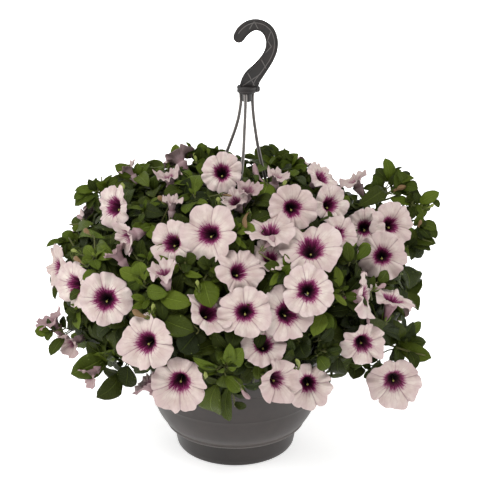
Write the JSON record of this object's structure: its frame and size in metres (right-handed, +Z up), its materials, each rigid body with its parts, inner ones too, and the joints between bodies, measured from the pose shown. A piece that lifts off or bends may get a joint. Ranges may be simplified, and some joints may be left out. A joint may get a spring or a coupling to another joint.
{
  "type": "petunia hanging basket",
  "caption": "Petunia plant in full bloom in a round plastic hanging pot with soil, a drip tray, and a hook on three straps.",
  "frame": {"origin": "centre of the drip tray's underside, which is what the basket stands on when it isn't hung", "axes": "+Z up through the pot, +X along the hook's flat side to the right as the plant is seen from its front, -Y to the front"},
  "size_m": [0.5815, 0.5016, 0.594],
  "materials": {
    "pot_plastic": "moulded, fine satin grain, dark warm grey",
    "tray_plastic": "moulded, satin, dark grey",
    "hanger_plastic": "moulded, satin, dark grey",
    "soil": "damp peat potting soil, rough",
    "foliage": "living leaves and stems, softly hairy, satin green",
    "petal": "pale pink petals with mauve veins and a purple throat"
  },
  "bodies": {
    "root": {"bloom_f01": "petal", "bloom_f03": "petal", "bloom_f04": "petal", "bloom_f05": "petal", "bloom_f06": "petal", "bloom_f07": "petal", "bloom_f07b": "petal", "bloom_f09": "petal", "bloom_f12": "petal", "bloom_f18": "petal", "bloom_f19": "petal", "bloom_f20": "petal", "bloom_f22": "petal", "bloom_f27": "petal", "bloom_f28": "petal", "bloom_f29": "petal", "bloom_f30": "petal", "bloom_f32": "petal", "bloom_f33": "petal", "bloom_f34": "petal", "bloom_f35": "petal", "bloom_f36": "petal", "bloom_f38": "petal", "bloom_f41": "petal", "bloom_f42": "petal", "bloom_f43": "petal", "bloom_f45": "petal", "bloom_f46": "petal", "drip_tray": "tray_plastic", "hook": "hanger_plastic", "leafy_stem_01": "foliage", "leafy_stem_02": "foliage", "leafy_stem_03": "foliage", "leafy_stem_04": "foliage", "leafy_stem_05": "foliage", "leafy_stem_06": "foliage", "leafy_stem_07": "foliage", "leafy_stem_08": "foliage", "leafy_stem_09": "foliage", "pot": "pot_plastic", "soil": "soil", "spray_b01a": "petal", "spray_b02a": "petal", "spray_b03a": "petal", "spray_b04a": "petal", "spray_b05a": "petal", "spray_b06a": "petal", "spray_b07a": "petal", "spray_b08a": "petal", "spray_b09a": "petal", "spray_b10a": "petal", "spray_f02": "petal", "spray_f08": "petal", "spray_f21": "petal", "spray_f24": "petal", "spray_f37": "petal", "strap_front": "hanger_plastic", "strap_left": "hanger_plastic", "strap_right": "hanger_plastic"}
  },
  "joints": []
}
